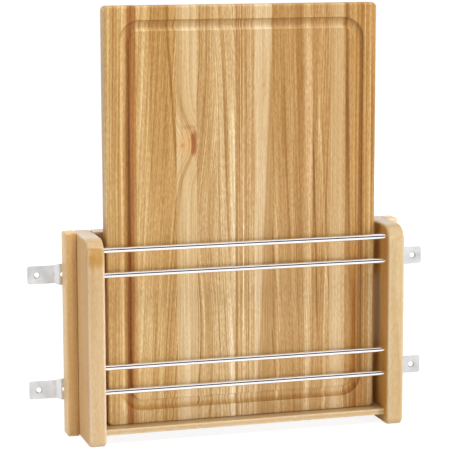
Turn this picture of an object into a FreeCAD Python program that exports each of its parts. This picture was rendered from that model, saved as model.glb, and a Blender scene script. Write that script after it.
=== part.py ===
import FreeCAD, Part
import itertools
import os

# A cutting board in its wooden holder for the inside of a cabinet door, in millimetres.
# X runs across the door, -Y points from the door into the room and Z is up.
# The origin is the middle of the four door screw holes, on the face of the door.

# Cutting board: upright staves glued edge to edge. Their widths are used in turn from the
# left, and the last one is cut to the board's width.
board_width = 304.8
stave_widths = (35.0, 43.0, 22.5, 21.0, 22.5, 21.5, 19.5, 46.5, 20.0, 15.0, 12.0, 30.0)
board_height = 452.0
board_thickness = 19.0
board_corner_radius = 5.0
board_roundover = 3.0

# Juice groove: a round-bottomed channel that runs all round the front of the board.
groove_inset = 15.0
groove_width = 12.0
groove_depth = 3.5
groove_corner_radius = 24.0

# Room round the board in its slot.
board_side_gap = 7.35
board_back_gap = 11.0
board_front_gap = 13.0

# Side panels.
panel_thickness = 18.7
panel_height = 225.0
panel_top_radius = 19.0
panel_bottom_radius = 8.0
panel_edge_radius = 3.0

# Back stiles, glued to the outer face of each panel.
stile_width = 12.6
stile_depth = 20.0
stile_edge_radius = 2.0
stile_joint_radius = 1.0

# Shelf, housed in a stopped groove in each panel.
shelf_height = 10.0
shelf_thickness = 6.4
shelf_setback = 10.3
shelf_housing = 6.0
shelf_edge_radius = 1.5

# Back rails, between the panels and behind the board.
rail_thickness = 19.0
rail_height = 64.0
rail_edge_radius = 1.5

# Retaining rods: two pairs, in blind holes near the front of the panels.
rod_diameter = 6.0
rod_front_margin = 9.9
rod_socket = 8.0
rod_end_room = 0.5
rod_pair_pitch = 26.8
top_rod_drop = 12.9
bottom_rod_height = 58.2

# Dowels that join the rails and the stiles to the panels.
rail_dowel_diameter = 8.0
rail_dowel_spacing = 32.0
rail_dowel_in_panel = 9.0
rail_dowel_in_rail = 16.0
stile_dowel_diameter = 6.0
stile_dowel_spacing = 48.0
stile_dowel_in_panel = 7.0
stile_dowel_in_stile = 7.0
dowel_chamfer = 0.8
dowel_end_room = 0.5

# Sockets and housings are cut this much over size on each side, for glue.
glue_gap = 0.05

# Door brackets: sheet steel, with a tab on the door and a stepped head behind the stile.
# The hole in the tab is countersunk from the front, down to its land.
plate_thickness = 1.5
plate_bend_radius = 1.0
tab_reach = 37.75
tab_height = 19.8
tab_corner_radius = 2.5
tab_hole_diameter = 5.6
tab_hole_reach = 27.2
tab_hole_land = 0.4
step_reach = 3.1
step_length = 4.6
head_overlap = 21.0
head_height = 23.4
head_corner_radius = 2.0
slot_width = 4.6
slot_travel = 6.0
lower_bracket_height = 49.0
bracket_spacing = 128.0

# Screws that clamp the brackets to the stiles.
screw_diameter = 4.0
screw_head_diameter = 8.0
screw_head_height = 2.2
screw_head_radius = 1.0
screw_length_in_wood = 14.0
screw_tip_length = 3.0
screw_tip_diameter = 1.0
screw_door_room = 0.3
driver_cross_span = 4.6
driver_cross_width = 0.9
driver_cross_depth = 1.2

# Places that follow from the sizes above.
inner_x = board_width / 2 + board_side_gap
panel_x = inner_x + panel_thickness
stile_x = panel_x + stile_width
screw_x = stile_x - stile_width / 2
board_back = rail_thickness + board_back_gap
board_front = board_back + board_thickness
rod_depth = board_front + board_front_gap + rod_diameter / 2
panel_depth = rod_depth + rod_front_margin
shelf_front = panel_depth - shelf_setback
shelf_top = shelf_height + shelf_thickness
board_top = shelf_top + board_height
back_y = -(plate_thickness + screw_head_height + screw_door_room)
foot_z = -(lower_bracket_height + bracket_spacing / 2)
rail_bottoms = {"lower": shelf_top, "upper": panel_height - rail_height}
bracket_heights = {
    "lower": lower_bracket_height,
    "upper": lower_bracket_height + bracket_spacing,
}
rod_heights = {
    "bottom": bottom_rod_height,
    "lower": bottom_rod_height + rod_pair_pitch,
    "upper": panel_height - top_rod_drop - rod_pair_pitch,
    "top": panel_height - top_rod_drop,
}
rail_dowel_heights = [
    bottom + rail_height / 2 + side * rail_dowel_spacing / 2
    for bottom in rail_bottoms.values() for side in (-1, 1)
]
stile_dowel_heights = [panel_height / 2 + side * stile_dowel_spacing / 2 for side in (-1, 1)]

across = FreeCAD.Vector(1, 0, 0)
to_door = FreeCAD.Vector(0, 1, 0)
quarter_turn = 90
tolerance = 1e-4


def place(x, depth, height):
    # A point by its depth in front of the holder's back and its height above the holder's foot.
    return FreeCAD.Vector(x, back_y - depth, foot_z + height)


def block(left, right, near, far, low, high):
    # A box between two sides, two depths and two heights.
    return Part.makeBox(right - left, far - near, high - low, place(left, far, low))


def bar(diameter, left, right, depth, height):
    # A round bar that lies across the holder.
    return Part.makeCylinder(diameter / 2, right - left, place(left, depth, height), across)


def peg(diameter, x, low_y, high_y, height):
    # A round bar that points at the door.
    start = FreeCAD.Vector(x, low_y, foot_z + height)
    return Part.makeCylinder(diameter / 2, high_y - low_y, start, to_door)


def edges_in_plane(shape, axis, value):
    # The edges that lie wholly where this coordinate has this value.
    def in_plane(edge):
        spots = [vertex.Point for vertex in edge.Vertexes] + [edge.CenterOfMass]
        return all(abs(getattr(spot, axis) - value) < tolerance for spot in spots)
    return [edge for edge in shape.Edges if in_plane(edge)]


def both(some, others):
    # The edges that are in both lists.
    return [edge for edge in some if any(edge.isSame(other) for other in others)]


def leaving_out(some, others):
    # The edges of the first list that aren't in the second.
    return [edge for edge in some if not any(edge.isSame(other) for other in others)]


def mirrored(shape):
    # The left-hand copy of a right-hand piece.
    return shape.mirror(FreeCAD.Vector(0, 0, 0), across)


def save(name, shape):
    shape.exportStep("parts/" + name + ".step")
    print(name, len(shape.Solids), round(shape.Volume, 1), shape.isValid())


def save_pair(name, right_piece):
    save(name + "_left", mirrored(right_piece))
    save(name + "_right", right_piece)


def side_panel():
    # An upright panel with round front corners and eased edges, bored for rods and dowels
    # and grooved for the shelf.
    front_y = back_y - panel_depth
    panel = block(inner_x, panel_x, 0, panel_depth, 0, panel_height)
    corners = ((foot_z + panel_height, panel_top_radius), (foot_z, panel_bottom_radius))
    for corner_z, radius in corners:
        corner = both(edges_in_plane(panel, "y", front_y), edges_in_plane(panel, "z", corner_z))
        panel = panel.makeFillet(radius, corner)
    rims = edges_in_plane(panel, "x", inner_x) + edges_in_plane(panel, "x", panel_x)
    back = edges_in_plane(panel, "y", back_y)
    panel = panel.makeFillet(panel_edge_radius, leaving_out(rims, back))
    socket_end = inner_x + rod_socket + rod_end_room
    for height in rod_heights.values():
        panel = panel.cut(bar(rod_diameter + 2 * glue_gap, inner_x, socket_end, rod_depth, height))
    panel = panel.cut(shelf_board(glue_gap))
    return panel.cut(rail_dowels(glue_gap, dowel_end_room) + stile_dowels(glue_gap, dowel_end_room))


def back_stile():
    # A square stile beside each panel; its sharp sides are the one on the door and the
    # one that is glued, whose front edge is only just broken.
    stile = block(panel_x, stile_x, 0, stile_depth, 0, panel_height)
    front = edges_in_plane(stile, "y", back_y - stile_depth)
    joint = edges_in_plane(stile, "x", panel_x)
    back = edges_in_plane(stile, "y", back_y)
    outer = edges_in_plane(stile, "x", stile_x)
    stile = stile.makeFillet(stile_edge_radius, leaving_out(leaving_out(front, joint), back)
                             + leaving_out(outer, back + front))
    joint_front = both(edges_in_plane(stile, "x", panel_x),
                       edges_in_plane(stile, "y", back_y - stile_depth))
    stile = stile.makeFillet(stile_joint_radius, joint_front)
    stile = stile.cut(stile_dowels(glue_gap, dowel_end_room))
    bore = screw_diameter + 2 * glue_gap
    for height in bracket_heights.values():
        stile = stile.cut(peg(bore, screw_x, back_y - screw_length_in_wood, back_y, height))
    return stile


def shelf_board(gap=0):
    # The shelf, whose ends are housed in the panels; the gap gives the housing's own size.
    end_x = inner_x + shelf_housing
    shelf = block(-end_x - gap, end_x + gap, -gap, shelf_front + gap,
                  shelf_height - gap, shelf_top + gap)
    front = edges_in_plane(shelf, "y", back_y - shelf_front - gap)
    long_edges = [edge for edge in front if edge.Length > end_x]
    return shelf.makeFillet(shelf_edge_radius, long_edges)


def back_rail(bottom):
    # A rail across the back whose front edges are eased.
    rail = block(-inner_x, inner_x, 0, rail_thickness, bottom, bottom + rail_height)
    front = edges_in_plane(rail, "y", back_y - rail_thickness)
    long_edges = [edge for edge in front if edge.Length > inner_x]
    rail = rail.makeFillet(rail_edge_radius, long_edges)
    pegs = rail_dowels(glue_gap, dowel_end_room)
    return rail.cut(pegs + [mirrored(pin) for pin in pegs])


def dowel(diameter, left, right, depth, height, gap, end_room):
    # A dowel with chamfered ends, or with a gap the plain hole that it goes in.
    if gap:
        return bar(diameter + 2 * gap, left - end_room, right + end_room, depth, height)
    pin = bar(diameter, left, right, depth, height)
    ends = edges_in_plane(pin, "x", left) + edges_in_plane(pin, "x", right)
    return pin.makeChamfer(dowel_chamfer, ends)


def rail_dowels(gap=0, end_room=0):
    # Two dowels at the right-hand end of each rail.
    left = inner_x - rail_dowel_in_rail
    right = inner_x + rail_dowel_in_panel
    return [dowel(rail_dowel_diameter, left, right, rail_thickness / 2, height, gap, end_room)
            for height in rail_dowel_heights]


def stile_dowels(gap=0, end_room=0):
    # Two dowels between the right-hand stile and its panel.
    left = panel_x - stile_dowel_in_panel
    right = panel_x + stile_dowel_in_stile
    return [dowel(stile_dowel_diameter, left, right, stile_depth / 2, height, gap, end_room)
            for height in stile_dowel_heights]


def both_sides(shapes):
    # One group of separate solids: the right-hand ones and their left-hand copies.
    return Part.makeCompound(shapes + [mirrored(shape) for shape in shapes])


def rod(height):
    end_x = inner_x + rod_socket
    return bar(rod_diameter, -end_x, end_x, rod_depth, height)


def groove_cutter():
    # A round bar that follows the groove: one corner with its two runs, copied four ways.
    bar_radius = (groove_width ** 2 / 4 + groove_depth ** 2) / (2 * groove_depth)
    axis_depth = board_front + bar_radius - groove_depth
    run_x = board_width / 2 - groove_inset - groove_width / 2
    middle = shelf_top + board_height / 2
    run_height = board_top - groove_inset - groove_width / 2
    turn_radius = groove_corner_radius - groove_width / 2
    turn_x = run_x - turn_radius
    turn_height = run_height - turn_radius
    top_run = bar(2 * bar_radius, 0, turn_x, axis_depth, run_height)
    side_run = Part.makeCylinder(bar_radius, turn_height - middle,
                                 place(run_x, axis_depth, middle))
    section = Part.Face(Part.Wire(Part.makeCircle(
        bar_radius, place(turn_x, axis_depth, run_height), across)))
    turn = section.revolve(place(turn_x, axis_depth, turn_height), to_door, quarter_turn)
    right = [top_run, side_run, turn]
    top = right + [mirrored(piece) for piece in right]
    centre = place(0, axis_depth, middle)
    return top + [piece.mirror(centre, FreeCAD.Vector(0, 0, 1)) for piece in top]


def board_blank():
    # The whole board, with its groove, before it is parted into staves.
    blank = block(-board_width / 2, board_width / 2, board_back, board_front, shelf_top, board_top)
    sides = [edge for edge in blank.Edges if abs(edge.Length - board_thickness) < tolerance]
    blank = blank.makeFillet(board_corner_radius, sides)
    rims = (edges_in_plane(blank, "y", back_y - board_front)
            + edges_in_plane(blank, "y", back_y - board_back))
    blank = blank.makeFillet(board_roundover, rims)
    return blank.cut(groove_cutter())


def board_staves():
    # The blank cut along the glue lines.
    blank = board_blank()
    widths = itertools.cycle(stave_widths)
    left = -board_width / 2
    while left < board_width / 2 - tolerance:
        right = min(left + next(widths), board_width / 2)
        yield blank.common(block(left, right, board_back, board_front, shelf_top, board_top))
        left = right


def door_bracket(height):
    # A stepped strip seen from above, trimmed to the bracket's outline seen from the front.
    head_end = stile_x - head_overlap
    bend_in = stile_x + step_reach
    bend_out = bend_in + step_length
    tab_end = stile_x + tab_reach
    drop = -plate_thickness - back_y
    slope = (step_length ** 2 + drop ** 2) ** 0.5
    lean = plate_thickness * (slope - step_length) / drop
    low_z = foot_z + height - head_height / 2
    front_line = [(head_end, back_y), (bend_in, back_y), (bend_out, -plate_thickness),
                  (tab_end, -plate_thickness)]
    rear_line = [(tab_end, 0), (bend_out - lean, 0), (bend_in - lean, back_y + plate_thickness),
                 (head_end, back_y + plate_thickness)]
    strip = prism([FreeCAD.Vector(x, y, low_z) for x, y in front_line + rear_line],
                  FreeCAD.Vector(0, 0, head_height))
    bends = [edge for edge in strip.Edges if abs(edge.Length - head_height) < tolerance
             and head_end + tolerance < edge.CenterOfMass.x < tab_end - tolerance]
    strip = strip.makeFillet(plate_bend_radius, bends)
    half_head = head_height / 2
    half_tab = tab_height / 2
    upper_line = [(head_end, half_head), (bend_in, half_head), (bend_out, half_tab),
                  (tab_end, half_tab)]
    lower_line = [(x, -rise) for x, rise in reversed(upper_line)]
    outline = prism([FreeCAD.Vector(x, back_y, foot_z + height + rise)
                     for x, rise in upper_line + lower_line], FreeCAD.Vector(0, -back_y, 0))
    for end_x, radius in ((head_end, head_corner_radius), (tab_end, tab_corner_radius)):
        corners = [edge for edge in edges_in_plane(outline, "x", end_x)
                   if abs(edge.Length + back_y) < tolerance]
        outline = outline.makeFillet(radius, corners)
    bracket = strip.common(outline)
    hole_x = stile_x + tab_hole_reach
    sink_depth = plate_thickness - tab_hole_land
    sink = Part.makeCone(tab_hole_diameter / 2, tab_hole_diameter / 2 + sink_depth, sink_depth,
                         FreeCAD.Vector(hole_x, -tab_hole_land, foot_z + height), -to_door)
    bracket = bracket.cut([peg(tab_hole_diameter, hole_x, back_y, 0, height), sink])
    slot = [peg(slot_width, screw_x + side * slot_travel, back_y, 0, height) for side in (-1, 1)]
    slot.append(Part.makeBox(2 * slot_travel, -back_y, slot_width, FreeCAD.Vector(
        screw_x - slot_travel, back_y, foot_z + height - slot_width / 2)))
    return bracket.cut(slot)


def prism(points, reach):
    # The flat outline through these points, drawn out by this much.
    return Part.Face(Part.makePolygon(points + points[:1])).extrude(reach)


def bracket_screw(height):
    # A pan-head wood screw that points away from the door, with a cross for the driver.
    seat_y = back_y + plate_thickness
    head_y = seat_y + screw_head_height
    tip_y = back_y - screw_length_in_wood
    head = peg(screw_head_diameter, screw_x, seat_y, head_y, height)
    head = head.makeFillet(screw_head_radius, edges_in_plane(head, "y", head_y))
    shank = peg(screw_diameter, screw_x, tip_y + screw_tip_length, seat_y, height)
    tip = Part.makeCone(screw_tip_diameter / 2, screw_diameter / 2, screw_tip_length,
                        FreeCAD.Vector(screw_x, tip_y, foot_z + height), to_door)
    screw = head.fuse([shank, tip]).removeSplitter()
    spans = ((driver_cross_span, driver_cross_width), (driver_cross_width, driver_cross_span))
    for wide, high in spans:
        corner = FreeCAD.Vector(screw_x - wide / 2, head_y - driver_cross_depth,
                                foot_z + height - high / 2)
        screw = screw.cut(Part.makeBox(wide, driver_cross_depth, high, corner))
    return screw


os.makedirs("parts", exist_ok=True)
save_pair("side_panel", side_panel())
save_pair("back_stile", back_stile())
save("bottom_shelf", shelf_board())
for level, bottom in rail_bottoms.items():
    save(level + "_back_rail", back_rail(bottom))
for level, height in rod_heights.items():
    save(level + "_retaining_rod", rod(height))
save("rail_dowels", both_sides(rail_dowels()))
save("stile_dowels", both_sides(stile_dowels()))
for number, stave in enumerate(board_staves(), start=1):
    save("board_stave_{:02d}".format(number), stave)
for level, height in bracket_heights.items():
    save_pair(level + "_door_bracket", door_bracket(height))
save("bracket_screws", both_sides([bracket_screw(height) for height in bracket_heights.values()]))
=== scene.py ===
import math

import bpy
import numpy as np
from mathutils import Euler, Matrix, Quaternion, Vector


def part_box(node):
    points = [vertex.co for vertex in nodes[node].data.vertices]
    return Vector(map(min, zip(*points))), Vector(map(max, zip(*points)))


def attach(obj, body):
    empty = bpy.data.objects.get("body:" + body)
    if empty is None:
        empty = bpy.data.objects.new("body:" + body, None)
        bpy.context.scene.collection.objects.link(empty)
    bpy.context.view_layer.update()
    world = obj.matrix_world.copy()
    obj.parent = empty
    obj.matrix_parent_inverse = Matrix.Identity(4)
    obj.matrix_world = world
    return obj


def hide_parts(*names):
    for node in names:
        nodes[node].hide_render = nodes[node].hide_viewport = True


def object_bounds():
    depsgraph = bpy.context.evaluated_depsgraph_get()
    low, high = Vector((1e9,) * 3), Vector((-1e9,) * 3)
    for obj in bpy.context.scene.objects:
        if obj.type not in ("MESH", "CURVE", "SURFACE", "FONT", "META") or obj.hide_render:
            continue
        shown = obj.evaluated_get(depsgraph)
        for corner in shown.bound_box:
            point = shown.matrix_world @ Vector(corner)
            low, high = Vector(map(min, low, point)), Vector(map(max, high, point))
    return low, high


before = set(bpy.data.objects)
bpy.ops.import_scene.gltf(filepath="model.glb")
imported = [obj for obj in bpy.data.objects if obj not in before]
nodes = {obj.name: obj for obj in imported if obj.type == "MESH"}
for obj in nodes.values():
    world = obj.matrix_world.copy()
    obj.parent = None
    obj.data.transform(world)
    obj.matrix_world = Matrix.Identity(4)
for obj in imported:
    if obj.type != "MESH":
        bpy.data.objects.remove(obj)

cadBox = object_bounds()
print("frame:", len(nodes), "nodes")


def paint(code):
    # A screen colour such as "dcb57e" as linear red, green and blue with full alpha.
    screen = np.array([int(code[at:at + 2], 16) for at in (0, 2, 4)]) / 255
    linear = np.where(screen <= 0.04045, screen / 12.92, ((screen + 0.055) / 1.055) ** 2.4)
    return tuple(float(part) for part in linear) + (1.0,)


def put(tree, kind, feeds=None, **settings):
    # Adds a shader node; each feed is a fixed value or the socket that supplies it.
    node = tree.nodes.new("ShaderNode" + kind)
    for name, value in settings.items():
        setattr(node, name, value)
    for socket, value in (feeds or {}).items():
        if isinstance(value, bpy.types.NodeSocket):
            tree.links.new(value, node.inputs[socket])
        else:
            node.inputs[socket].default_value = value
    return node


def work(tree, operation, *values):
    return put(tree, "Math", dict(enumerate(values)), operation=operation).outputs[0]


def step(tree, value, low, high, start=0.0, end=1.0):
    # A smooth step as the value goes from low to high.
    return put(tree, "MapRange", {"Value": value, "From Min": low, "From Max": high,
                                  "To Min": start, "To Max": end},
               interpolation_type="SMOOTHSTEP").outputs["Result"]


def added(tree, total, mask, weight):
    return put(tree, "Math", {0: mask, 1: weight, 2: total}, operation="MULTIPLY_ADD").outputs[0]


def mixed(tree, amount, first, second, way="MIX"):
    return put(tree, "Mix", {0: amount, 6: first, 7: second},
               data_type="RGBA", blend_type=way).outputs[2]


def noise(tree, place, stretch, detail=2.0, roughness=0.5):
    # Noise whose cells are stretched differently along each axis, in cells per metre.
    spread = put(tree, "VectorMath", {0: place, 1: stretch}, operation="MULTIPLY").outputs[0]
    return put(tree, "TexNoise", {"Vector": spread, "Scale": 1.0, "Detail": detail,
                                  "Roughness": roughness})


def startGroup(name, takes, gives):
    # A node group with named inputs and number or colour outputs.
    kinds = {float: "NodeSocketFloat", tuple: "NodeSocketVector"}
    group = bpy.data.node_groups.new(name, "ShaderNodeTree")
    for label, value in takes.items():
        socket = group.interface.new_socket(label, in_out="INPUT", socket_type=kinds[type(value)])
        socket.default_value = value
    for label, kind in gives.items():
        group.interface.new_socket(label, in_out="OUTPUT", socket_type="NodeSocket" + kind)
    return group, group.nodes.new("NodeGroupInput").outputs, group.nodes.new("NodeGroupOutput")


def finishGroup(group, outlet, results):
    for label, socket in results.items():
        group.links.new(socket, outlet.inputs[label])
    return group


grain = {
    "drift": (24.0, 24.0, 4.0),  # noise cells per metre that bend the rings
    "spacing": 0.31,  # noise cells per ring that crowd the rings together or spread them
    "crowding": 4.0,  # rings gained or lost where they crowd most
    "darkens": (0.3, 0.84),  # part of a ring over which it darkens
    "palesAgain": (0.87, 1.0),
    "ringStrength": (0.15, 1.0),  # the faintest ring and the strongest
    "alongRings": {  # noise cells per ring, and per metre up the piece
        "Bands": (0.42, 2.5, 1.0),
        "Streaks": (1.9, 3.2, 1.0),
        "Dashes": (5.5, 8.0, 1.0),
    },
    "fibres": (1500.0, 1500.0, 34.0),  # noise cells per metre across, deep and up
    "flecks": (850.0, 850.0, 190.0),
    "pores": (2100.0, 2100.0, 190.0),
    "cloud": (45.0, 45.0, 6.0),
    "contrast": (0.3, 0.7),  # noise values taken as none and full
    "poreContrast": (0.60, 0.72),
    "reddening": (1.0, 1.6, 2.8),  # how much of a shade red, green and blue each take
    "palest": 0.9,
    "wanderCells": 9.0,  # noise cells per metre up a line in the grain
}


def nodeBox(first, last=None):
    # Middle and half size of a node, or of a row of nodes from its first to its last.
    low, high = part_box(first)[0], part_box(last or first)[1]
    return (low + high) / 2, (high - low) / 2


def makeGrowthRings():
    # Distance from the pith, made wavy by slow noise and divided by the ring width. Within
    # each ring the wood darkens toward its outer edge and then drops back; every ring has
    # its own strength. Bands, streaks and dashes are noise over ring count and height, so
    # they follow the rings.
    group, give, outlet = startGroup(
        "growthRings", {"Place": (0.0, 0.0, 0.0), "Ring Width": 0.003, "Waviness": 0.002,
                        "Unevenness": 1.0},
        {"Late Wood": "Float", "Bands": "Float", "Streaks": "Float", "Dashes": "Float"})
    drift = noise(group, give["Place"], grain["drift"]).outputs["Color"]
    drift = put(group, "VectorMath", {0: drift, 1: (0.5, 0.5, 0.5)},
                operation="SUBTRACT").outputs[0]
    drift = put(group, "VectorMath", {0: drift, "Scale": give["Waviness"]},
                operation="SCALE").outputs[0]
    wavy = put(group, "VectorMath", {0: give["Place"], 1: drift}, operation="ADD").outputs[0]
    flat = put(group, "VectorMath", {0: wavy, 1: (1.0, 1.0, 0.0)},
               operation="MULTIPLY").outputs[0]
    reach = put(group, "VectorMath", {0: flat}, operation="LENGTH").outputs["Value"]
    count = work(group, "DIVIDE", reach, give["Ring Width"])
    uneven = put(group, "TexNoise", {"W": work(group, "MULTIPLY", count, grain["spacing"]),
                                     "Scale": 1.0, "Detail": 1.0},
                 noise_dimensions="1D").outputs["Fac"]
    uneven = work(group, "MULTIPLY", work(group, "SUBTRACT", uneven, 0.5), give["Unevenness"])
    phase = added(group, count, uneven, grain["crowding"])
    part = work(group, "FRACT", phase)
    rise = step(group, part, *grain["darkens"])
    fall = step(group, part, *grain["palesAgain"], 1.0, 0.0)
    ringTone = put(group, "TexWhiteNoise", {"W": work(group, "FLOOR", phase)},
                   noise_dimensions="1D").outputs["Value"]
    strength = step(group, ringTone, 0.0, 1.0, *grain["ringStrength"])
    late = work(group, "MULTIPLY", work(group, "MULTIPLY", rise, fall), strength)
    height = put(group, "SeparateXYZ", {0: wavy}).outputs["Z"]
    along = put(group, "CombineXYZ", {"X": phase, "Y": height}).outputs[0]
    results = {"Late Wood": late}
    for label, stretch in grain["alongRings"].items():
        pattern = noise(group, along, stretch, roughness=0.6).outputs["Fac"]
        results[label] = step(group, pattern, *grain["contrast"], -1.0, 1.0)
    return finishGroup(group, outlet, results)


def makeWoodFibres():
    # Noise drawn out along the grain: hair-fine fibres, short flecks, dark pores and broad
    # soft patches.
    group, give, outlet = startGroup(
        "woodFibres", {"Place": (0.0, 0.0, 0.0)},
        {"Fibres": "Float", "Flecks": "Float", "Pores": "Float", "Cloud": "Float"})
    place = give["Place"]
    fibres = noise(group, place, grain["fibres"], detail=3.0, roughness=0.6).outputs["Fac"]
    flecks = noise(group, place, grain["flecks"], roughness=0.6).outputs["Fac"]
    pores = noise(group, place, grain["pores"], detail=1.0).outputs["Fac"]
    cloud = noise(group, place, grain["cloud"], detail=3.0, roughness=0.55).outputs["Fac"]
    return finishGroup(group, outlet, {
        "Fibres": step(group, fibres, *grain["contrast"]),
        "Flecks": step(group, flecks, *grain["contrast"], -1.0, 1.0),
        "Pores": step(group, pores, *grain["poreContrast"]),
        "Cloud": step(group, cloud, *grain["contrast"])})


def makeWoodShade():
    # One wood darker or lighter: red, green and blue are each multiplied by e to the power
    # of the shade times that colour's reddening, so that dark wood turns redder.
    group, give, outlet = startGroup(
        "woodShade", {"Colour": (0.5, 0.5, 0.5), "Shade": 0.0}, {"Colour": "Color"})
    parts = [work(group, "EXPONENT", work(group, "MULTIPLY", give["Shade"], power))
             for power in grain["reddening"]]
    change = put(group, "CombineXYZ", dict(enumerate(parts))).outputs[0]
    shaded = put(group, "VectorMath", {0: give["Colour"], 1: change},
                 operation="MULTIPLY").outputs[0]
    shaded = put(group, "VectorMath", {0: shaded, 1: (grain["palest"],) * 3},
                 operation="MINIMUM").outputs[0]
    return finishGroup(group, outlet, {"Colour": shaded})


def makeGrainMark():
    # How far a spot is to the right of a line that leans and wanders up the wood, over the
    # line's width: a peak on the line, and a step from each side of it to the other.
    group, give, outlet = startGroup(
        "grainMark", {"Place": (0.0, 0.0, 0.0), "Across": 0.0, "Slope": 0.0, "Wander": 0.001,
                      "Width": 0.001, "Seed": 0.0},
        {"Line": "Float", "Right Side": "Float", "Left Side": "Float"})
    axes = put(group, "SeparateXYZ", {0: give["Place"]}).outputs
    height = added(group, give["Seed"], axes["Z"], grain["wanderCells"])
    bend = put(group, "TexNoise", {"W": height, "Scale": 1.0, "Detail": 2.0},
               noise_dimensions="1D").outputs["Fac"]
    bend = work(group, "MULTIPLY", work(group, "SUBTRACT", bend, 0.5), give["Wander"])
    lean = work(group, "MULTIPLY", axes["Z"], give["Slope"])
    line = work(group, "ADD", work(group, "ADD", give["Across"], lean), bend)
    offset = work(group, "DIVIDE", work(group, "SUBTRACT", axes["X"], line), give["Width"])
    return finishGroup(group, outlet, {
        "Line": step(group, work(group, "ABSOLUTE", offset), 0.0, 1.0, 1.0, 0.0),
        "Right Side": step(group, offset, -1.0, 1.0),
        "Left Side": step(group, offset, -1.0, 1.0, 1.0, 0.0)})


def makeGrainBend():
    # Grain pushed sideways near one height, as it flows round a knot: the push fades above
    # and below as a bell curve.
    group, give, outlet = startGroup(
        "grainBend", {"Place": (0.0, 0.0, 0.0), "Height": 0.0, "Reach": 0.02, "Push": 0.0},
        {"Place": "Vector", "Nearness": "Float"})
    axes = put(group, "SeparateXYZ", {0: give["Place"]}).outputs
    rise = work(group, "DIVIDE", work(group, "SUBTRACT", axes["Z"], give["Height"]),
                give["Reach"])
    bell = work(group, "EXPONENT", work(group, "MULTIPLY", work(
        group, "MULTIPLY", rise, rise), -1.0))
    across = work(group, "SUBTRACT", axes["X"], work(group, "MULTIPLY", bell, give["Push"]))
    bent = put(group, "CombineXYZ", {"X": across, "Y": axes["Y"], "Z": axes["Z"]}).outputs[0]
    return finishGroup(group, outlet, {"Place": bent, "Nearness": bell})


def makeBoxEdge():
    # Nearness to the edges of an upright box: one minus the distance to each face over the
    # width, multiplied in pairs, and the largest pair wins.
    group, give, outlet = startGroup(
        "boxEdge", {"Place": (0.0, 0.0, 0.0), "Middle": (0.0, 0.0, 0.0),
                    "Half Size": (0.1, 0.1, 0.1), "Width": 0.004}, {"Edge": "Float"})
    away = put(group, "VectorMath", {0: give["Place"], 1: give["Middle"]},
               operation="SUBTRACT").outputs[0]
    away = put(group, "VectorMath", {0: away}, operation="ABSOLUTE").outputs[0]
    inside = put(group, "VectorMath", {0: give["Half Size"], 1: away},
                 operation="SUBTRACT").outputs[0]
    sides = [step(group, work(group, "DIVIDE", side, give["Width"]), 0.0, 1.0, 1.0, 0.0)
             for side in put(group, "SeparateXYZ", {0: inside}).outputs]
    pairs = [work(group, "MULTIPLY", sides[one], sides[two]) for one, two in
             ((0, 1), (1, 2), (0, 2))]
    edge = work(group, "MAXIMUM", work(group, "MAXIMUM", pairs[0], pairs[1]), pairs[2])
    return finishGroup(group, outlet, {"Edge": edge})


groove = {
    "inset": 0.015,  # from the board's edge to the groove
    "width": 0.012,
    "corner": 0.024,  # outer radius at the board's corners
    "paintedShade": 0.04,  # painted shade lost on its walls
    "middle": 0.25,  # part of that painted shade on its middle line
    "walls": (0.0, 0.45),  # from the middle line to full painted shade, in groove widths
    "rim": (0.46, 0.53),  # where the painted shade ends, in groove widths
    "paintedSlopeLight": (0.0, 0.0, 0.27),  # painted shade lost on the outer walls of the runs across, and painted light gained on their inner walls
    "paintedFootShade": 3.0,  # times more painted shade along the foot
    "paintedFootShadeHeights": (0.03, 0.05),  # above the board's foot, where that ends
    "face": (-0.001, 0.0),  # from the board's middle plane: its back stays bare
}


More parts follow.
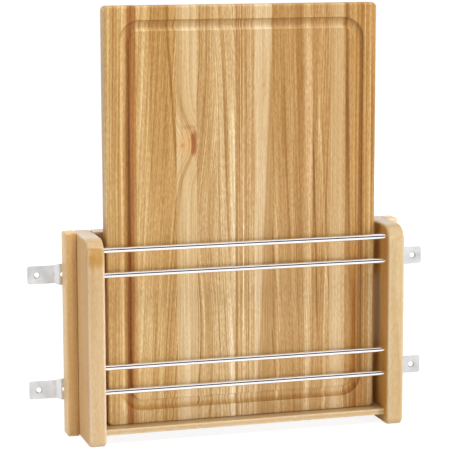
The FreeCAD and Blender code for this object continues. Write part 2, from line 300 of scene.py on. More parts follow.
def makeGroovePaintedLight():
    # Distance to a rectangle with round corners, the groove's centre line: the walls on both
    # sides of it get painted shade, most of all along the foot. On the runs across, painted shade
    # darkens the outer wall and painted light makes the inner one pale: the distance times the
    # outward way, along the way of that painted light.
    group, give, outlet = startGroup("groovePaintedLight", {"Place": (0.0, 0.0, 0.0)},
                                     {"Painted Shade": "Float", "Painted Slope Light": "Float"})
    middle, half = nodeBox("board_stave_01", "board_stave_12")
    run = groove["inset"] + groove["width"] / 2
    turn = groove["corner"] - groove["width"] / 2
    offset = put(group, "VectorMath", {0: give["Place"], 1: middle},
                 operation="SUBTRACT").outputs[0]
    away = put(group, "VectorMath", {0: offset}, operation="ABSOLUTE").outputs[0]
    past = put(group, "VectorMath", {0: away, 1: (half.x - run - turn, 1.0, half.z - run - turn)},
               operation="SUBTRACT").outputs[0]
    parts = put(group, "SeparateXYZ", {0: past}).outputs
    inner = work(group, "MINIMUM", work(group, "MAXIMUM", parts["X"], parts["Z"]), 0.0)
    corner = put(group, "VectorMath", {0: past, 1: (0.0, 0.0, 0.0)},
                 operation="MAXIMUM").outputs[0]
    outward = put(group, "VectorMath", {0: corner}, operation="NORMALIZE").outputs[0]
    outward = put(group, "VectorMath", {0: outward, 1: groove["paintedSlopeLight"]},
                  operation="DOT_PRODUCT").outputs["Value"]
    corner = put(group, "VectorMath", {0: corner}, operation="LENGTH").outputs["Value"]
    beside = work(group, "SUBTRACT", work(group, "ADD", corner, inner), turn)
    distance = work(group, "ABSOLUTE", beside)
    walls, rim = ([groove["width"] * part for part in groove[name]] for name in ("walls", "rim"))
    wall = step(group, distance, *walls, groove["middle"], 1.0)
    rim = step(group, distance, *rim, 1.0, 0.0)
    ways = put(group, "SeparateXYZ", {0: offset}).outputs
    rim = work(group, "MULTIPLY", rim, step(group, ways["Y"], *groove["face"], 1.0, 0.0))
    paintedFootLow, paintedFootHigh = (height - half.z for height in groove["paintedFootShadeHeights"])
    foot = step(group, ways["Z"], paintedFootLow, paintedFootHigh, groove["paintedFootShade"], 1.0)
    wall = work(group, "MULTIPLY", wall, foot)
    side = work(group, "DIVIDE", beside, groove["width"] / 2)
    paintedSlopeLight = work(group, "MULTIPLY", work(group, "MULTIPLY", side, outward), rim)
    return finishGroup(group, outlet, {"Painted Shade": work(group, "MULTIPLY", wall, rim), "Painted Slope Light": paintedSlopeLight})


growthRings = makeGrowthRings()
woodFibres = makeWoodFibres()
woodShade = makeWoodShade()
grainMark = makeGrainMark()
grainBend = makeGrainBend()
boxEdge = makeBoxEdge()
groovePaintedLight = makeGroovePaintedLight()
print("node groups made")


def startMaterial(name):
    material = bpy.data.materials.new(name)
    material.use_nodes = True
    tree = material.node_tree
    tree.nodes.clear()
    place = put(tree, "TexCoord").outputs
    return material, tree, place


def closeMaterial(tree, colour, roughness, normal, more):
    # The surface shader; more gives its other sockets, as fixed values where they don't vary.
    shader = put(tree, "BsdfPrincipled", {
        "Base Color": colour, "Roughness": roughness, "Normal": normal, **more})
    put(tree, "OutputMaterial", {"Surface": shader.outputs[0]})


woodDefaults = {
    "tone": "d0a970",
    "tint": "cfa066",  # colour of the broad patches
    "shade": 0.0,  # darker all over below 0, paler above
    "pith": (0.0, 0.06),  # across from the piece's middle, and behind it
    "lean": (0.0, 0.0),  # degrees that the pith leans forward and sideways
    "turn": 0.0,  # degrees about Y; 90 lays the grain across
    "depth": 1.0,  # stretches the grain from front to back
    "ring": 0.0026,
    "waviness": 0.003,
    "unevenness": 1.0,
    "rings": 0.30,  # shade lost at the dark edge of a ring
    "paleRing": 0.2,  # late wood at which the rings leave the shade alone
    "bands": 0.07,  # shade of each pattern at its strongest
    "streaks": 0.14,
    "dashes": 0.09,
    "flecks": 0.11,
    "pores": 0.10,
    "cloud": 0.4,  # how far the broad patches take on the tint
    "fade": 0.0,  # painted light: shade gained from foot to top; below 0 the foot is paler than the top
    "paintedLightHeights": (-0.10, 0.30),
    "grooved": False,
    "marks": (),
    "blots": (),
    "bend": None,
    "paintedEdgeHighlight": 0.1,  # painted highlight: shade gained along the edges
    "roughness": 0.42,
    "sheen": 0.03,  # change of roughness from streak to streak
    "bump": 0.00008,  # depth of the relief in metres
    "bumpStrength": 0.6,
    "relief": (0.4, 0.3),  # how far the fibres stand up and the late wood sinks
    "coat": 0.08,  # lacquer
    "coatRoughness": 0.28,
    "topCoat": None,  # the coat on the piece's top, where that differs
    "topDepth": (0.0016, 0.0004),  # below the top, where that coat starts and is full
    "shine": 0.35,
}
markSeeds = {"perMark": 3.7, "perMetre": 10.0}  # give each mark its own way of wandering
blotEdge = {"core": 0.35, "ragged": 0.22}  # part of a blot in full tone, and its rough edge


def markMask(tree, place, height, middle, mark, number):
    # A line or a step across the piece, faded out above and below its heights.
    seed = number * markSeeds["perMark"] + middle.x * markSeeds["perMetre"]
    shape = put(tree, "Group", {
        "Place": place, "Across": middle.x + mark["at"], "Slope": mark.get("slope", 0.0),
        "Wander": mark.get("wander", 0.002), "Width": mark["width"], "Seed": seed},
        node_tree=grainMark)
    mask = shape.outputs[mark.get("shape", "Line")]
    if "heights" in mark:
        low, high, fade = mark["heights"]
        mask = work(tree, "MULTIPLY", mask, work(
            tree, "MULTIPLY", step(tree, height, low - fade, low + fade),
            step(tree, height, high - fade, high + fade, 1.0, 0.0)))
    return mask


def blotMask(tree, place, rough, middle, blot):
    # Distance from a spot, measured in the blot's own size and roughened by the streaks.
    across, deep, up = blot["at"]
    away = put(tree, "VectorMath", {0: place, 1: (middle.x + across, deep, up)},
               operation="SUBTRACT").outputs[0]
    away = put(tree, "VectorMath", {0: away, 1: blot["size"]}, operation="DIVIDE").outputs[0]
    reach = put(tree, "VectorMath", {0: away}, operation="LENGTH").outputs["Value"]
    reach = added(tree, reach, rough, blotEdge["ragged"])
    return step(tree, reach, blot.get("core", blotEdge["core"]), 1.0, 1.0, 0.0)


def bendGrain(tree, spot, wood):
    # The place with its grain pushed sideways, and the rings' shade, which is deeper there.
    bend = wood["bend"]
    if not bend:
        return spot, -wood["rings"]
    bent = put(tree, "Group", {"Place": spot, "Height": bend["height"],
                               "Reach": bend["reach"], "Push": bend["push"]},
               node_tree=grainBend).outputs
    return bent["Place"], added(tree, -wood["rings"], bent["Nearness"], -bend.get("rings", 0.0))


def grainPatterns(tree, spot, middle, wood):
    # The place is measured from the pith, leaned and turned so that its Z runs up the grain,
    # and the rings and the fibres are worked out there.
    leanForward, leanSideways = (math.radians(part) for part in wood["lean"])
    across, behind = wood["pith"]
    depth = wood["depth"]
    along = put(tree, "Mapping", {
        "Vector": spot, "Location": (middle.x + across, middle.y + behind * depth, middle.z),
        "Rotation": (leanForward * depth, leanSideways + math.radians(wood["turn"]), 0.0),
        "Scale": (1.0, depth, 1.0)}, vector_type="TEXTURE").outputs[0]
    rings = put(tree, "Group", {"Place": along, "Ring Width": wood["ring"],
                                "Waviness": wood["waviness"],
                                "Unevenness": wood["unevenness"]},
                node_tree=growthRings).outputs
    return rings, put(tree, "Group", {"Place": along}, node_tree=woodFibres).outputs


def grainShade(tree, rings, fibres, ringShade, height, wood):
    # A sum: the wood's own shade, the rings' late wood, and each pattern times its weight.
    late = work(tree, "SUBTRACT", rings["Late Wood"], wood["paleRing"])
    shade = added(tree, wood["shade"], late, ringShade)
    for mask, weight in ((rings["Bands"], "bands"), (rings["Streaks"], "streaks"),
                         (rings["Dashes"], "dashes"), (fibres["Flecks"], "flecks")):
        shade = added(tree, shade, mask, wood[weight])
    shade = added(tree, shade, fibres["Pores"], -wood["pores"])
    # Painted light: the fade makes the foot paler or darker than the top.
    return added(tree, shade, step(tree, height, *wood["paintedLightHeights"]), wood["fade"])


def toned(tree, colour, mask, look):
    # The mask, times the look's strength, mixes the look's tone into the colour.
    amount = work(tree, "MULTIPLY", mask, look["strength"])
    return mixed(tree, amount, colour, paint(look["tone"]))


# Painted shade on the groove's walls, and painted light and shade on the walls of its runs
# across.
def paintGrooveLight(tree, spot, shade):
    paintedShade = put(tree, "Group", {"Place": spot}, node_tree=groovePaintedLight).outputs
    shade = added(tree, shade, paintedShade["Painted Shade"], -groove["paintedShade"])
    return work(tree, "SUBTRACT", shade, paintedShade["Painted Slope Light"])


# Painted highlight: the edges of the box are made paler.
def paintEdgeHighlight(tree, spot, shade, middle, half, paintedEdgeHighlight):
    edge = put(tree, "Group", {"Place": spot, "Middle": middle, "Half Size": half},
               node_tree=boxEdge).outputs["Edge"]
    return added(tree, shade, edge, paintedEdgeHighlight)


def woodRelief(tree, rings, fibres, wood):
    # The fibres' height, less the pores and part of the late wood.
    raised, sunk = wood["relief"]
    relief = work(tree, "SUBTRACT", work(tree, "MULTIPLY", fibres["Fibres"], raised),
                  added(tree, fibres["Pores"], rings["Late Wood"], sunk))
    return put(tree, "Bump", {"Height": relief, "Distance": wood["bump"],
                              "Strength": wood["bumpStrength"]}).outputs[0]


def lacquer(tree, height, top, wood):
    # One coat all over, unless the top takes another: then a step from one to the other.
    if wood["topCoat"] is None:
        return wood["coat"]
    start, full = (top - below for below in wood["topDepth"])
    return step(tree, height, start, full, wood["coat"], wood["topCoat"])


def woodMaterial(name, piece, wood):
    wood = {**woodDefaults, **wood}
    material, tree, place = startMaterial(name)
    spot = place["Object"]
    middle, half = nodeBox(piece)
    height = put(tree, "SeparateXYZ", {0: spot}).outputs["Z"]
    bent, ringShade = bendGrain(tree, spot, wood)
    rings, fibres = grainPatterns(tree, bent, middle, wood)
    colour = mixed(tree, work(tree, "MULTIPLY", fibres["Cloud"], wood["cloud"]),
                   paint(wood["tone"]), paint(wood["tint"]))
    shade = grainShade(tree, rings, fibres, ringShade, height, wood)
    for number, mark in enumerate(wood["marks"]):
        mask = markMask(tree, bent if mark.get("bent") else spot, height, middle, mark, number)
        shade = added(tree, shade, mask, mark["shade"])
        if "tone" in mark:
            colour = toned(tree, colour, mask, mark)
    for blot in wood["blots"]:
        colour = toned(tree, colour, blotMask(tree, spot, rings["Streaks"], middle, blot), blot)
    if wood["grooved"]:
        shade = paintGrooveLight(tree, spot, shade)
        highlightMiddle, highlightHalf = nodeBox("board_stave_01", "board_stave_12")
    else:
        highlightMiddle, highlightHalf = middle, half
    # Painted highlight along the piece's edges, or along the whole board's edges.
    shade = paintEdgeHighlight(tree, spot, shade, highlightMiddle, highlightHalf, wood["paintedEdgeHighlight"])
    colour = put(tree, "Group", {"Colour": colour, "Shade": shade},
                 node_tree=woodShade).outputs[0]
    roughness = added(tree, wood["roughness"], rings["Streaks"], wood["sheen"])
    closeMaterial(tree, colour, roughness, woodRelief(tree, rings, fibres, wood), {
        "Coat Weight": lacquer(tree, height, middle.z + half.z, wood),
        "Coat Roughness": wood["coatRoughness"], "Specular IOR Level": wood["shine"]})
    return material


def dress(piece, material):
    # The CAD node keeps its mesh and only gets a material.
    slots = nodes[piece].material_slots
    if not slots:
        nodes[piece].data.materials.append(material)
    for slot in nodes[piece].material_slots:
        slot.material = material


# The woods that the board is glued up from.
boardStock = {
    "pale": {"tone": "ceb48e", "tint": "cab086"},
    "cream": {"tone": "c6a87a", "tint": "c2a270"},
    "golden": {"tone": "b48c52", "tint": "b0864c"},
    "tan": {"tone": "b08a56", "tint": "ae864e"},
}
# Its staves from the left, in metres, each of one wood with its own grain. A mark is a darker
# or paler line: most are lines in the grain, and the ones noted beside them are painted shade or
# painted highlight. At is how far right of the piece's middle it crosses height 0, slope how far
# it leans right per metre up, wander how far it strays, and heights are where it starts and ends
# in the row frame, and how slowly it fades there. A blot is a patch of another tone, with its
# place right of the middle and then its Y and Z in the row frame. A bend pushes the grain
# sideways round one height, as beside the knot in stave 03.
staves = {
    "board_stave_01": {
        "stock": "golden", "shade": 0.08, "pith": (-0.05, 0.02), "lean": (0.6, 0.5),
        "ring": 0.0034, "waviness": 0.006, "rings": 0.24, "bands": 0.10,
        "marks": ({"at": -0.0086, "width": 0.004, "shade": -0.12, "wander": 0.006,
                   "heights": (0.16, 0.40, 0.04)},
                  # Painted shadow of the left panel along the board's left edge, low down.
                  {"at": -0.0171, "width": 0.0035, "shade": -0.24, "wander": 0.0,
                   "heights": (-0.20, 0.10, 0.03)},
                  {"at": 0.0144, "width": 0.0030, "shade": -0.20, "wander": 0.001,
                   "heights": (0.13, 0.40, 0.05)},
                  {"at": -0.0056, "width": 0.0045, "shade": 0.14, "wander": 0.002,
                   "heights": (-0.20, 0.20, 0.04)},
                  {"at": 0.0054, "width": 0.0040, "shade": 0.18, "wander": 0.001,
                   "heights": (0.24, 0.40, 0.04)},
                  # Painted highlight on the board's rounded left edge, high up.
                  {"at": -0.0171, "width": 0.0018, "shade": 0.30, "wander": 0.0,
                   "heights": (0.12, 0.40, 0.03)},
                  # Painted highlight on the left wall of the groove's left run, high up.
                  {"at": 0.0004, "width": 0.0075, "shade": 0.15, "wander": 0.001,
                   "heights": (0.20, 0.40, 0.05)},
                  {"at": -0.0141, "width": 0.002, "shade": 0.08, "wander": 0.002},
                  # Dark reddish wood, and painted shade on the groove's right wall beside it.
                  {"at": 0.0087, "slope": 0.005, "width": 0.0074, "shade": -0.48,
                   "wander": 0.001, "tone": "b0703c", "strength": 0.6},
                  # Painted highlight on the left wall of the groove's left run.
                  {"at": 0.0011, "width": 0.0026, "shade": 0.22, "wander": 0.001},
                  {"at": 0.0159, "width": 0.0014, "shade": -0.16, "wander": 0.0},
                  {"at": 0.0164, "width": 0.0020, "shade": 0.15, "wander": 0.0,
                   "shape": "Right Side", "heights": (-0.20, 0.18, 0.06)})},
    "board_stave_02": {
        "stock": "golden", "pith": (0.062, 0.05), "lean": (-2.6, 1.4),
        "ring": 0.0018, "rings": 0.50, "streaks": 0.14, "bands": 0.06,
        "marks": ({"at": -0.0061, "width": 0.004, "shade": 0.17, "shape": "Left Side",
                   "wander": 0.005},
                  {"at": 0.0024, "width": 0.0060, "shade": 0.18, "wander": 0.002,
                   "heights": (-0.20, 0.10, 0.05)},
                  {"at": -0.0061, "width": 0.0022, "shade": -0.16, "wander": 0.003,
                   "heights": (0.16, 0.40, 0.05)},
                  {"at": 0.0099, "width": 0.005, "shade": -0.14, "wander": 0.004,
                   "heights": (0.20, 0.40, 0.05)},
                  {"at": 0.0304, "slope": -0.052, "width": 0.0024, "shade": -0.42,
                   "wander": 0.004, "heights": (0.17, 0.38, 0.02)})},
    "board_stave_03": {
        "stock": "cream", "shade": 0.04, "pith": (-0.085, 0.012), "ring": 0.0050,
        "rings": 0.12, "streaks": 0.05, "bands": 0.07, "flecks": 0.05, "unevenness": 0.6,
        "bend": {"height": 0.207, "reach": 0.030, "push": 0.017, "rings": 0.03},
        "marks": ({"at": -0.00785, "width": 0.0017, "shade": -0.20, "wander": 0.001,
                   "bent": True, "heights": (0.14, 0.27, 0.02)},
                  {"at": -0.01065, "width": 0.0012, "shade": -0.15, "wander": 0.001,
                   "bent": True, "heights": (0.10, 0.31, 0.03)},
                  {"at": -0.00535, "width": 0.0018, "shade": -0.10, "wander": 0.003},
                  {"at": 0.00115, "width": 0.004, "shade": 0.08, "wander": 0.004,
                   "heights": (-0.12, 0.16, 0.05)}),
        "blots": ({"at": (-0.00085, -0.055, 0.2075), "size": (0.015, 0.03, 0.017),
                   "tone": "cf9e68", "strength": 0.65},
                  {"at": (0.00315, -0.055, 0.2255), "size": (0.011, 0.03, 0.0032),
                   "tone": "b3804a", "strength": 0.6},
                  {"at": (-0.00435, -0.055, 0.2060), "size": (0.0030, 0.03, 0.0040),
                   "tone": "b27a44", "strength": 0.6},
                  {"at": (0.00855, -0.055, 0.2080), "size": (0.0046, 0.03, 0.018),
                   "core": 0.6, "tone": "a0602e", "strength": 0.9})},
    "board_stave_04": {
        "stock": "cream", "shade": -0.15, "pith": (-0.035, 0.05), "lean": (2.8, -2.2),
        "ring": 0.0017, "rings": 0.55, "streaks": 0.20,
        "bend": {"height": 0.12, "reach": 0.085, "push": -0.012},
        "marks": ({"at": 0.0029, "width": 0.003, "shade": -0.10, "wander": 0.004},
                  {"at": 0.0096, "width": 0.0014, "shade": 0.06, "wander": 0.0})},
    "board_stave_05": {
        "stock": "cream", "pith": (0.06, 0.010), "lean": (0.0, -3.0),
        "ring": 0.0023, "rings": 0.38, "streaks": 0.10, "bands": 0.05,
        "bend": {"height": 0.30, "reach": 0.10, "push": 0.004},
        "marks": ({"at": 0.00465, "width": 0.0020, "shade": 0.20, "shape": "Right Side",
                   "heights": (-0.14, 0.25, 0.03)},
                  {"at": -0.00735, "width": 0.0016, "shade": -0.24, "wander": 0.002,
                   "heights": (-0.12, 0.24, 0.03)},
                  {"at": -0.00085, "slope": 0.002, "width": 0.0014, "shade": -0.14,
                   "wander": 0.002, "heights": (-0.20, 0.16, 0.04)},
                  {"at": 0.01085, "width": 0.0009, "shade": -0.28, "wander": 0.0})},
    "board_stave_06": {
        "stock": "tan", "shade": 0.06, "pith": (0.10, 0.002), "ring": 0.0020,
        "rings": 0.50, "waviness": 0.0012, "streaks": 0.25,
        "marks": ({"at": -0.00915, "width": 0.0016, "shade": -0.20, "wander": 0.0},
                  {"at": -0.00235, "width": 0.0013, "shade": 0.28, "wander": 0.001},
                  {"at": 0.00565, "width": 0.0013, "shade": 0.26, "wander": 0.001},
                  {"at": 0.00245, "width": 0.0011, "shade": 0.12, "wander": 0.001})},
    "board_stave_07": {
        "stock": "pale", "pith": (0.12, 0.02), "ring": 0.0034,
        "rings": 0.12, "streaks": 0.05, "bands": 0.03, "flecks": 0.05,
        "marks": ({"at": -0.00365, "slope": 0.042, "width": 0.0022, "shade": -0.40,
                   "shape": "Right Side", "wander": 0.003},
                  {"at": -0.00035, "slope": 0.042, "width": 0.0016, "shade": 0.14,
                   "wander": 0.002, "heights": (-0.12, 0.24, 0.04)})},
    "board_stave_08": {
        "stock": "tan", "shade": -0.02, "pith": (-0.030, 0.026), "lean": (-0.8, -1.0),
        "ring": 0.0015, "rings": 0.28, "waviness": 0.003, "streaks": 0.11, "dashes": 0.10,
        "marks": ({"at": 0.00815, "width": 0.0065, "shade": -0.18, "wander": 0.003,
                   "heights": (0.06, 0.40, 0.06)},
                  {"at": 0.01415, "width": 0.0022, "shade": 0.12, "shape": "Right Side",
                   "wander": 0.002, "heights": (0.05, 0.40, 0.05)},
                  {"at": 0.01795, "width": 0.0066, "shade": 0.32, "wander": 0.002,
                   "heights": (-0.20, 0.08, 0.05)},
                  {"at": 0.02015, "width": 0.0030, "shade": 0.12, "wander": 0.002,
                   "heights": (0.08, 0.20, 0.05)},
                  {"at": -0.01635, "slope": -0.012, "width": 0.0036, "shade": 0.30,
                   "wander": 0.002, "heights": (-0.20, 0.14, 0.06)},
                  {"at": -0.02135, "width": 0.0016, "shade": -0.12, "wander": 0.001},
                  {"at": -0.00385, "slope": -0.024, "width": 0.0028, "shade": 0.15,
                   "wander": 0.001, "heights": (0.12, 0.40, 0.04)},
                  {"at": 0.00015, "width": 0.0016, "shade": 0.14, "wander": 0.003,
                   "heights": (-0.20, 0.24, 0.06)}),
        "blots": ({"at": (0.01865, -0.055, 0.24), "size": (0.006, 0.03, 0.13),
                   "tone": "d3ab7e", "strength": 0.35},)},
    "board_stave_09": {
        "stock": "tan", "shade": 0.01, "pith": (-0.04, 0.014), "lean": (0.0, 1.6),
        "ring": 0.0032, "rings": 0.26, "streaks": 0.08, "bands": 0.08,
        "marks": ({"at": -0.0036, "slope": -0.026, "width": 0.0020, "shade": -0.50,
                   "heights": (0.00, 0.21, 0.03), "wander": 0.003},
                  {"at": -0.0086, "width": 0.0018, "shade": -0.14, "wander": 0.001},
                  {"at": 0.0044, "width": 0.0024, "shade": 0.18, "wander": 0.002,
                   "heights": (-0.20, 0.08, 0.04)},
                  {"at": -0.0031, "width": 0.0020, "shade": 0.16, "wander": 0.002,
                   "heights": (0.18, 0.40, 0.04)},
                  {"at": 0.0094, "slope": -0.048, "width": 0.0018, "shade": 0.18,
                   "wander": 0.002, "heights": (-0.02, 0.25, 0.04)},
                  {"at": 0.0119, "slope": -0.048, "width": 0.0014, "shade": -0.20,
                   "wander": 0.002, "heights": (0.00, 0.25, 0.04)},
                  {"at": 0.0074, "slope": 0.006, "width": 0.0012, "shade": 0.16,
                   "wander": 0.002, "heights": (0.20, 0.40, 0.04)})},
    "board_stave_10": {
        "stock": "pale", "shade": -0.17, "pith": (0.10, 0.03), "ring": 0.0022,
        "rings": 0.16, "streaks": 0.08, "bands": 0.04, "flecks": 0.06,
        "marks": ({"at": -0.0070, "width": 0.0012, "shade": -0.18, "wander": 0.0},
                  {"at": -0.0001, "width": 0.0070, "shade": 0.11, "wander": 0.002,
                   "heights": (-0.20, 0.10, 0.05)})},
    "board_stave_11": {
        "stock": "tan", "shade": 0.02, "pith": (0.05, 0.02), "ring": 0.0022,
        "rings": 0.34, "streaks": 0.16, "bands": 0.08,
        "marks": ({"at": 0.0039, "slope": -0.018, "width": 0.0030, "shade": -0.32,
                   "wander": 0.002, "heights": (0.04, 0.40, 0.05)},
                  {"at": -0.0043, "width": 0.0030, "shade": 0.18, "wander": 0.002,
                   "heights": (-0.20, 0.10, 0.05)},
                  {"at": 0.0034, "width": 0.0024, "shade": -0.12, "wander": 0.001,
                   "heights": (-0.20, 0.06, 0.04)},
                  {"at": 0.0051, "width": 0.0026, "shade": -0.34, "wander": 0.0,
                   "heights": (-0.20, 0.08, 0.04)})},
    "board_stave_12": {
        "stock": "golden", "shade": -0.05, "pith": (0.07, 0.006), "ring": 0.0024,
        "waviness": 0.002, "rings": 0.36, "streaks": 0.14,
        "marks": ({"at": 0.00695, "width": 0.0026, "shade": 0.28, "wander": 0.001},
                  {"at": 0.00975, "width": 0.0028, "shade": 0.20, "wander": 0.001},
                  # Painted light low down near the right edge, where the right panel's shadow
                  # falls.
                  {"at": 0.00875, "width": 0.0040, "shade": 0.18, "wander": 0.001,
                   "heights": (-0.20, 0.08, 0.05)},
                  {"at": 0.00275, "width": 0.0016, "shade": -0.18, "wander": 0.001},
                  # Painted shade on the outer wall of the groove's right run.
                  {"at": -0.00405, "width": 0.0034, "shade": -0.36, "wander": 0.001},
                  {"at": -0.00975, "width": 0.0060, "shade": -0.36, "wander": 0.002,
                   "heights": (-0.20, 0.05, 0.05)},
                  {"at": -0.00985, "width": 0.0032, "shade": -0.28, "wander": 0.001,
                   "heights": (-0.20, 0.07, 0.04)},
                  {"at": -0.00375, "width": 0.0024, "shade": 0.12, "wander": 0.001},
                  # Painted shade at the outer rim of the groove's right run.
                  {"at": -0.00185, "width": 0.0015, "shade": -0.16, "wander": 0.0},
                  {"at": -0.00805, "width": 0.0015, "shade": -0.14, "wander": 0.001},
                  # Painted light low down near the right edge, where the right panel's shadow
                  # falls.
                  {"at": 0.00975, "width": 0.0040, "shade": 0.20, "wander": 0.0,
                   "heights": (-0.20, 0.08, 0.04)},
                  # Painted highlight on the inner wall of the groove's right run, high up.
                  {"at": -0.01125, "width": 0.0026, "shade": 0.20, "wander": 0.001,
                   "heights": (0.12, 0.40, 0.05)})},
}
# The board's fade paints light that makes its foot paler than its top, and its edges get a
# painted highlight.
boardWood = {"grooved": True, "depth": 3.0, "fade": -0.09, "roughness": 0.46, "shine": 0.5,
             "paintedEdgeHighlight": 0.15}
for piece, wood in staves.items():
    look = {**boardWood, **boardStock[wood["stock"]], **wood}
    dress(piece, woodMaterial(piece.replace("board_", "") + "Wood", piece, look))
print("board dressed")

# The holder's maple: pale, with faint rings, under satin lacquer.
maple = {"tone": "d6b688", "tint": "d4ae7c", "rings": 0.09, "bands": 0.03, "streaks": 0.035,
         "dashes": 0.02, "flecks": 0.045, "pores": 0.06, "ring": 0.0040, "roughness": 0.42,
         "paintedEdgeHighlight": 0.20, "coat": 0.2, "topCoat": 1.0}
panelMaple = {**maple, "tone": "caae87", "tint": "c8a67b", "coat": 0.0, "shine": 0.03}
# The stiles' maple has a paler tone as painted light, where the panels shade their fronts.
paintedLightStileMaple = {**maple, "tone": "e7bf83", "tint": "e2b777", "rings": 0.07, "streaks": 0.04,
              "paintedEdgeHighlight": 0.02, "topCoat": None}
acrossMaple = {**maple, "turn": 90.0}
holder = {
    "side_panel_left": {
        **panelMaple, "pith": (0.012, 0.16),
        "blots": ({"at": (0.0001, -0.079, 0.094), "size": (0.012, 0.02, 0.016),
                   "tone": "b98d4c", "strength": 0.85},),
        # Painted shade: the outer side face gets a warmer tone.
        "marks": ({"at": -0.0088, "width": 0.0005, "shade": 0.06,
                   "shape": "Left Side", "wander": 0.0, "tone": "d9a25c", "strength": 0.5},
                  # Painted highlight along the front outer edge.
                  {"at": -0.0083, "width": 0.0022, "shade": 0.05, "wander": 0.0})},
    "side_panel_right": {
        # Painted shade: the right panel's tone is darker than the left one's.
        **panelMaple, "tone": "c1a881", "tint": "bfa073", "pith": (-0.014, 0.15),
        # Painted shade: the inner face gets a warmer tone.
        "marks": ({"at": -0.0090, "width": 0.0004, "shade": 0.0,
                   "shape": "Left Side", "wander": 0.0, "tone": "d5a159", "strength": 1.0},)},
    "back_stile_left": {**paintedLightStileMaple, "pith": (0.02, 0.05)},
    # Painted highlight: the right stile's tone is paler than the left one's.
    "back_stile_right": {**paintedLightStileMaple, "tone": "e0cba6", "tint": "dcc498",
                         "pith": (-0.02, 0.05)},
    "bottom_shelf": {**acrossMaple, "tone": "bfa277", "tint": "bd9b6b", "topCoat": 0.4,
                     "pith": (0.0, 0.09)},
    "lower_back_rail": {**acrossMaple, "pith": (0.0, 0.06)},
    "upper_back_rail": {**acrossMaple, "pith": (0.0, 0.07)},
    "rail_dowels": {**paintedLightStileMaple, "turn": 90.0, "pith": (0.0, 0.03)},
    "stile_dowels": {**paintedLightStileMaple, "turn": 90.0, "pith": (0.0, 0.03)},
}
for piece, wood in holder.items():
    dress(piece, woodMaterial(piece.replace("_", " ").title().replace(" ", "") + "Wood",
                              piece, wood))
print("holder dressed")

metalCloud = {"cells": (60.0, 60.0, 60.0), "levels": (0.35, 0.7)}  # patches that are duller
metalBump = 0.5  # strength
metalLooks = {
    "chromePlate": {"colour": "fbfafa", "shade": "f4f3f4", "roughness": 0.06, "spread": 0.05,
                    "scratches": (30.0, 2200.0, 2200.0), "bump": 0.0000002},
    "zincPlate": {"colour": "dededf", "shade": "d0d0d2", "roughness": 0.24, "spread": 0.12,
                  "scratches": (60.0, 1500.0, 1500.0), "bump": 0.00001},
    "screwPlate": {"colour": "d2d3d5", "shade": "c0c1c4", "roughness": 0.3, "spread": 0.12,
                   "scratches": (1200.0, 1200.0, 1200.0), "bump": 0.00001},
}


def metalMaterial(name, look):
    # Plated steel: fine scratches along the piece and cloudy patches that are a little duller.
    material, tree, place = startMaterial(name)
    spot = place["Object"]
    scratches = noise(tree, spot, look["scratches"], detail=3.0, roughness=0.7).outputs["Fac"]
    cloud = noise(tree, spot, metalCloud["cells"], detail=3.0, roughness=0.6).outputs["Fac"]
    dull = step(tree, cloud, *metalCloud["levels"])
    colour = mixed(tree, dull, paint(look["colour"]), paint(look["shade"]))
    roughness = work(tree, "ADD", look["roughness"], work(
        tree, "MULTIPLY", work(tree, "ADD", dull, scratches), look["spread"] / 2))
    normal = put(tree, "Bump", {"Height": scratches, "Distance": look["bump"],
                                "Strength": metalBump}).outputs[0]
    closeMaterial(tree, colour, roughness, normal, {"Metallic": 1.0})
    return material


metals = {name: metalMaterial(name, look) for name, look in metalLooks.items()}

rods = {
    "levels": ("bottom", "lower", "upper", "top"),
    "sides": 64,
    "stations": 24,  # rings of points along a rod
    "rim": 0.0006,  # radius where a rod's side meets its end
    "rimSteps": 6,
}


def makeRod(level):
    # A bar along X: a circle carried along the rod, whose radius grows over a quarter round
    # at each end, with a point in the middle of each end to close it.
    node = level + "_retaining_rod"
    middle, half = nodeBox(node)
    turn = np.linspace(0.0, math.pi / 2, rods["rimSteps"])
    inset = rods["rim"] * (1.0 - np.cos(turn))
    rise = half.z - rods["rim"] * (1.0 - np.sin(turn))
    straight = np.linspace(rods["rim"] - half.x, half.x - rods["rim"], rods["stations"])[1:-1]
    along = np.concatenate([inset - half.x, straight, half.x - inset[::-1]]) + middle.x
    radius = np.concatenate([rise, np.full(straight.size, half.z), rise[::-1]])
    angle = np.arange(rods["sides"]) * 2.0 * math.pi / rods["sides"]
    across = middle.y + radius[:, None] * np.cos(angle)
    up = middle.z + radius[:, None] * np.sin(angle)
    grid = np.stack([np.broadcast_to(along[:, None], up.shape), across, up], axis=2)
    ends = np.array([[along[0], middle.y, middle.z], [along[-1], middle.y, middle.z]])
    spots = np.concatenate([grid.reshape(-1, 3), ends])
    index = np.arange(up.size).reshape(up.shape)
    nextRound = np.roll(index, -1, axis=1)
    quads = np.stack([index[:-1], nextRound[:-1], nextRound[1:], index[1:]], axis=2)
    left, right = np.full(rods["sides"], up.size), np.full(rods["sides"], up.size + 1)
    caps = np.concatenate([np.stack([left, nextRound[0], index[0]], axis=1),
                           np.stack([right, index[-1], nextRound[-1]], axis=1)])
    mesh = bpy.data.meshes.new(level + "ChromeRod")
    mesh.from_pydata(spots.tolist(), [], quads.reshape(-1, 4).tolist() + caps.tolist())
    mesh.polygons.foreach_set("use_smooth", np.ones(len(mesh.polygons), dtype=bool))
    mesh.materials.append(metals["chromePlate"])
    rod = bpy.data.objects.new(level + "ChromeRod", mesh)
    bpy.context.scene.collection.objects.link(rod)
    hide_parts(node)
    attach(rod, "holder")


for level in rods["levels"]:
    makeRod(level)
for level in ("lower", "upper"):
    for side in ("left", "right"):
        dress("{}_door_bracket_{}".format(level, side), metals["zincPlate"])
dress("bracket_screws", metals["screwPlate"])
print("metal dressed")

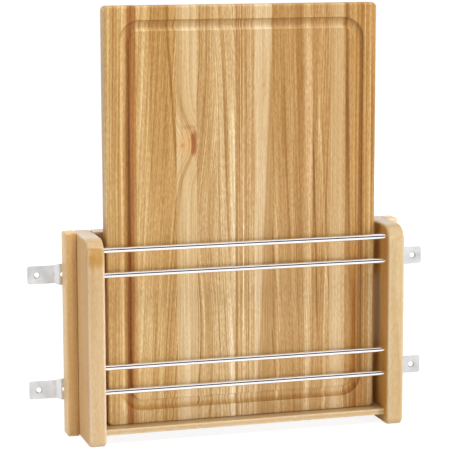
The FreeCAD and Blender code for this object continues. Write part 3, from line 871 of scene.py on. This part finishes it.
studio = {
    "floor": cadBox[0][2] - 0.0001,  # its height, a hair under the feet
    "floorSize": 40.0,
    "floorSeen": "8a8a8a",  # takes the shadow
    "floorLit": "f4f4f3",  # throws light up at the holder
    "glow": (0.88, 1.0),  # the floor's own light near the holder, and far off
    "glowReach": (0.4, 1.2),
    "sky": 0.10,  # world strength on the object
    "aim": (0.0, -0.05, 0.1),
    "band": 0.02,  # dark side of the room, seen only in metal
    "bandHeights": (0.60, 0.78),  # how steeply up the dark side ends
    "bandFront": (-0.45, -0.15),  # and how far round to the sides
    "lamps": {
        "key": {"at": (1.40, -1.66, 0.15), "size": 0.5, "power": 24.0},
        "front": {"at": (0.2, -2.2, 0.2), "size": 0.5, "power": 9.0},
        "top": {"at": (0.3, -1.0, 2.2), "size": 1.0, "power": 30.0},
        "high": {"at": (-0.5, -0.4, 2.4), "size": 1.2, "power": 16.0},
        "left": {"at": (-2.1, 0.25, 1.1), "size": 1.2, "power": 16.0},
        "back": {"at": (0.9, 2.2, 0.9), "size": 1.2, "power": 22.0},
    },
    "camera": {"at": (-0.59188, -2.01821, 0.43933), "yaw": 16.21, "pitch": 8.93,
               "roll": -0.15, "sensor": 36.0, "pixels": 450, "focalPixels": 1911.7},
}


def makeFloor():
    # A flat square grid of four corners under the holder's feet.
    reach = studio["floorSize"] / 2
    across, deep = np.meshgrid([-reach, reach], [-reach, reach])
    spots = np.stack([across.ravel(), deep.ravel(), np.full(4, studio["floor"])], axis=1)
    mesh = bpy.data.meshes.new("floor")
    mesh.from_pydata(spots.tolist(), [], [(0, 1, 3, 2)])
    floor = bpy.data.objects.new("floor", mesh)
    bpy.context.scene.collection.objects.link(floor)
    material, tree, place = startMaterial("paleFloor")
    path = put(tree, "LightPath").outputs
    seen = work(tree, "MAXIMUM", path["Is Camera Ray"], path["Is Glossy Ray"])
    away = put(tree, "VectorMath", {0: place["Object"]}, operation="LENGTH").outputs["Value"]
    glow = step(tree, away, *studio["glowReach"], *studio["glow"])
    colour = mixed(tree, seen, paint(studio["floorLit"]), paint(studio["floorSeen"]))
    shader = put(tree, "BsdfPrincipled", {
        "Base Color": colour, "Roughness": 0.9, "Specular IOR Level": 0.0,
        "Emission Color": (1.0, 1.0, 1.0, 1.0),
        "Emission Strength": work(tree, "MULTIPLY", seen, glow)})
    put(tree, "OutputMaterial", {"Surface": shader.outputs[0]})
    mesh.materials.append(material)


def makeWorld():
    # White behind the object; a plain grey-white room lights it, and metal also sees the
    # darker side of the room in front.
    world = bpy.data.worlds.new("studioRoom")
    bpy.context.scene.world = world
    world.use_nodes = True
    tree = world.node_tree
    tree.nodes.clear()
    path = put(tree, "LightPath").outputs
    way = put(tree, "SeparateXYZ", {0: put(tree, "TexCoord").outputs["Generated"]}).outputs
    level = step(tree, way["Z"], *studio["bandHeights"], 1.0, 0.0)
    front = step(tree, way["Y"], *studio["bandFront"], 1.0, 0.0)
    dark = work(tree, "MULTIPLY", level, front)
    room = step(tree, dark, 0.0, 1.0, 1.0, studio["band"])
    strength = mixed(tree, path["Is Glossy Ray"], (studio["sky"],) * 3 + (1.0,), room)
    strength = mixed(tree, path["Is Transmission Ray"], strength, (1.0, 1.0, 1.0, 1.0))
    strength = mixed(tree, path["Is Camera Ray"], strength, (1.0, 1.0, 1.0, 1.0))
    back = put(tree, "Background", {"Color": strength, "Strength": 1.0})
    put(tree, "OutputWorld", {"Surface": back.outputs[0]})


def makeLamp(name, lamp):
    data = bpy.data.lights.new(name, "AREA")
    data.shape = "DISK"
    data.size = lamp["size"]
    data.energy = lamp["power"]
    light = bpy.data.objects.new(name, data)
    light.location = lamp["at"]
    toAim = Vector(studio["aim"]) - Vector(lamp["at"])
    light.rotation_euler = toAim.to_track_quat("-Z", "Y").to_euler()
    light.visible_camera = False
    light.visible_glossy = False  # metal sees the room instead of the lamps
    bpy.context.scene.collection.objects.link(light)


def makeCamera():
    spec = studio["camera"]
    data = bpy.data.cameras.new("camera")
    data.sensor_width = spec["sensor"]
    data.lens = spec["focalPixels"] / spec["pixels"] * spec["sensor"]
    data.clip_end = 100.0
    camera = bpy.data.objects.new("camera", data)
    camera.location = spec["at"]
    aim = Euler((math.radians(90 - spec["pitch"]), 0.0, math.radians(-spec["yaw"])))
    roll = Quaternion((0.0, 0.0, 1.0), math.radians(spec["roll"]))
    camera.rotation_mode = "QUATERNION"
    camera.rotation_quaternion = aim.to_quaternion() @ roll
    bpy.context.scene.collection.objects.link(camera)
    bpy.context.scene.camera = camera


makeFloor()
makeWorld()
for name, lamp in studio["lamps"].items():
    makeLamp(name, lamp)
makeCamera()
bpy.context.scene.view_settings.view_transform = "Standard"
print("studio set")
